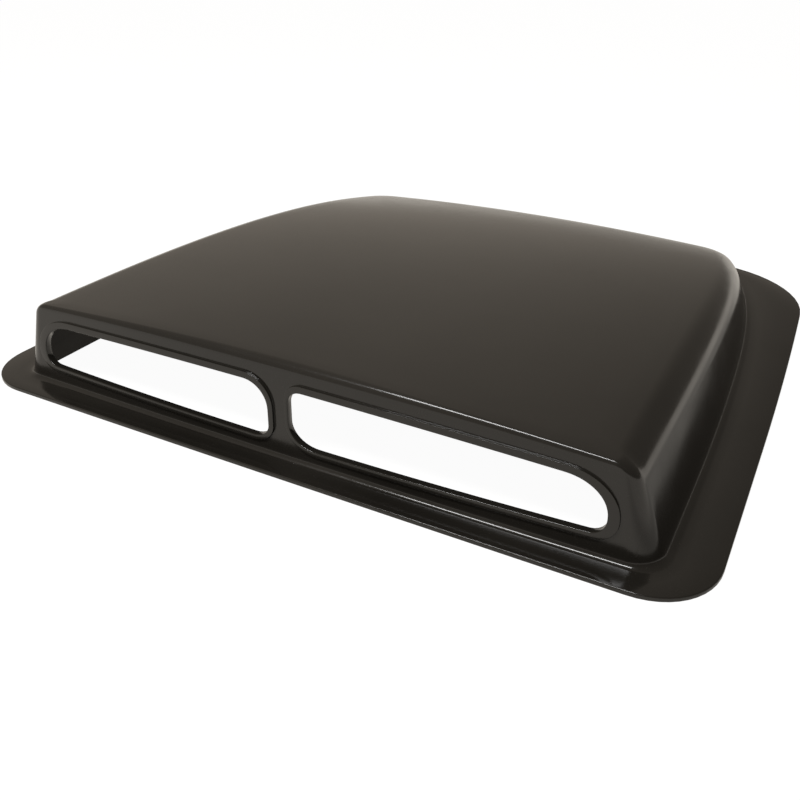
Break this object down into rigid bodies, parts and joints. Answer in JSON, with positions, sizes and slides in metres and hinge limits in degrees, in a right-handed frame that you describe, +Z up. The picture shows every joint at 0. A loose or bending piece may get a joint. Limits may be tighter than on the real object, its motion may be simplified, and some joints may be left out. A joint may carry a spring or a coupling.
{
  "type": "car bonnet vent",
  "caption": "Low wedge-shaped bonnet vent moulding with a flat flange all round, a crowned roof and stepped slot inlets in its front face, hollow below.",
  "frame": {"origin": "centre of the flange's underside, on the surface that the vent stands on", "axes": "+Z up, -Y towards the inlets and the front of the car, +X across the car"},
  "size_m": [0.6, 0.5659, 0.08],
  "materials": {
    "moulding": "semi-gloss moulded"
  },
  "bodies": {
    "root": {"scoop_shell": "moulding"}
  },
  "joints": []
}
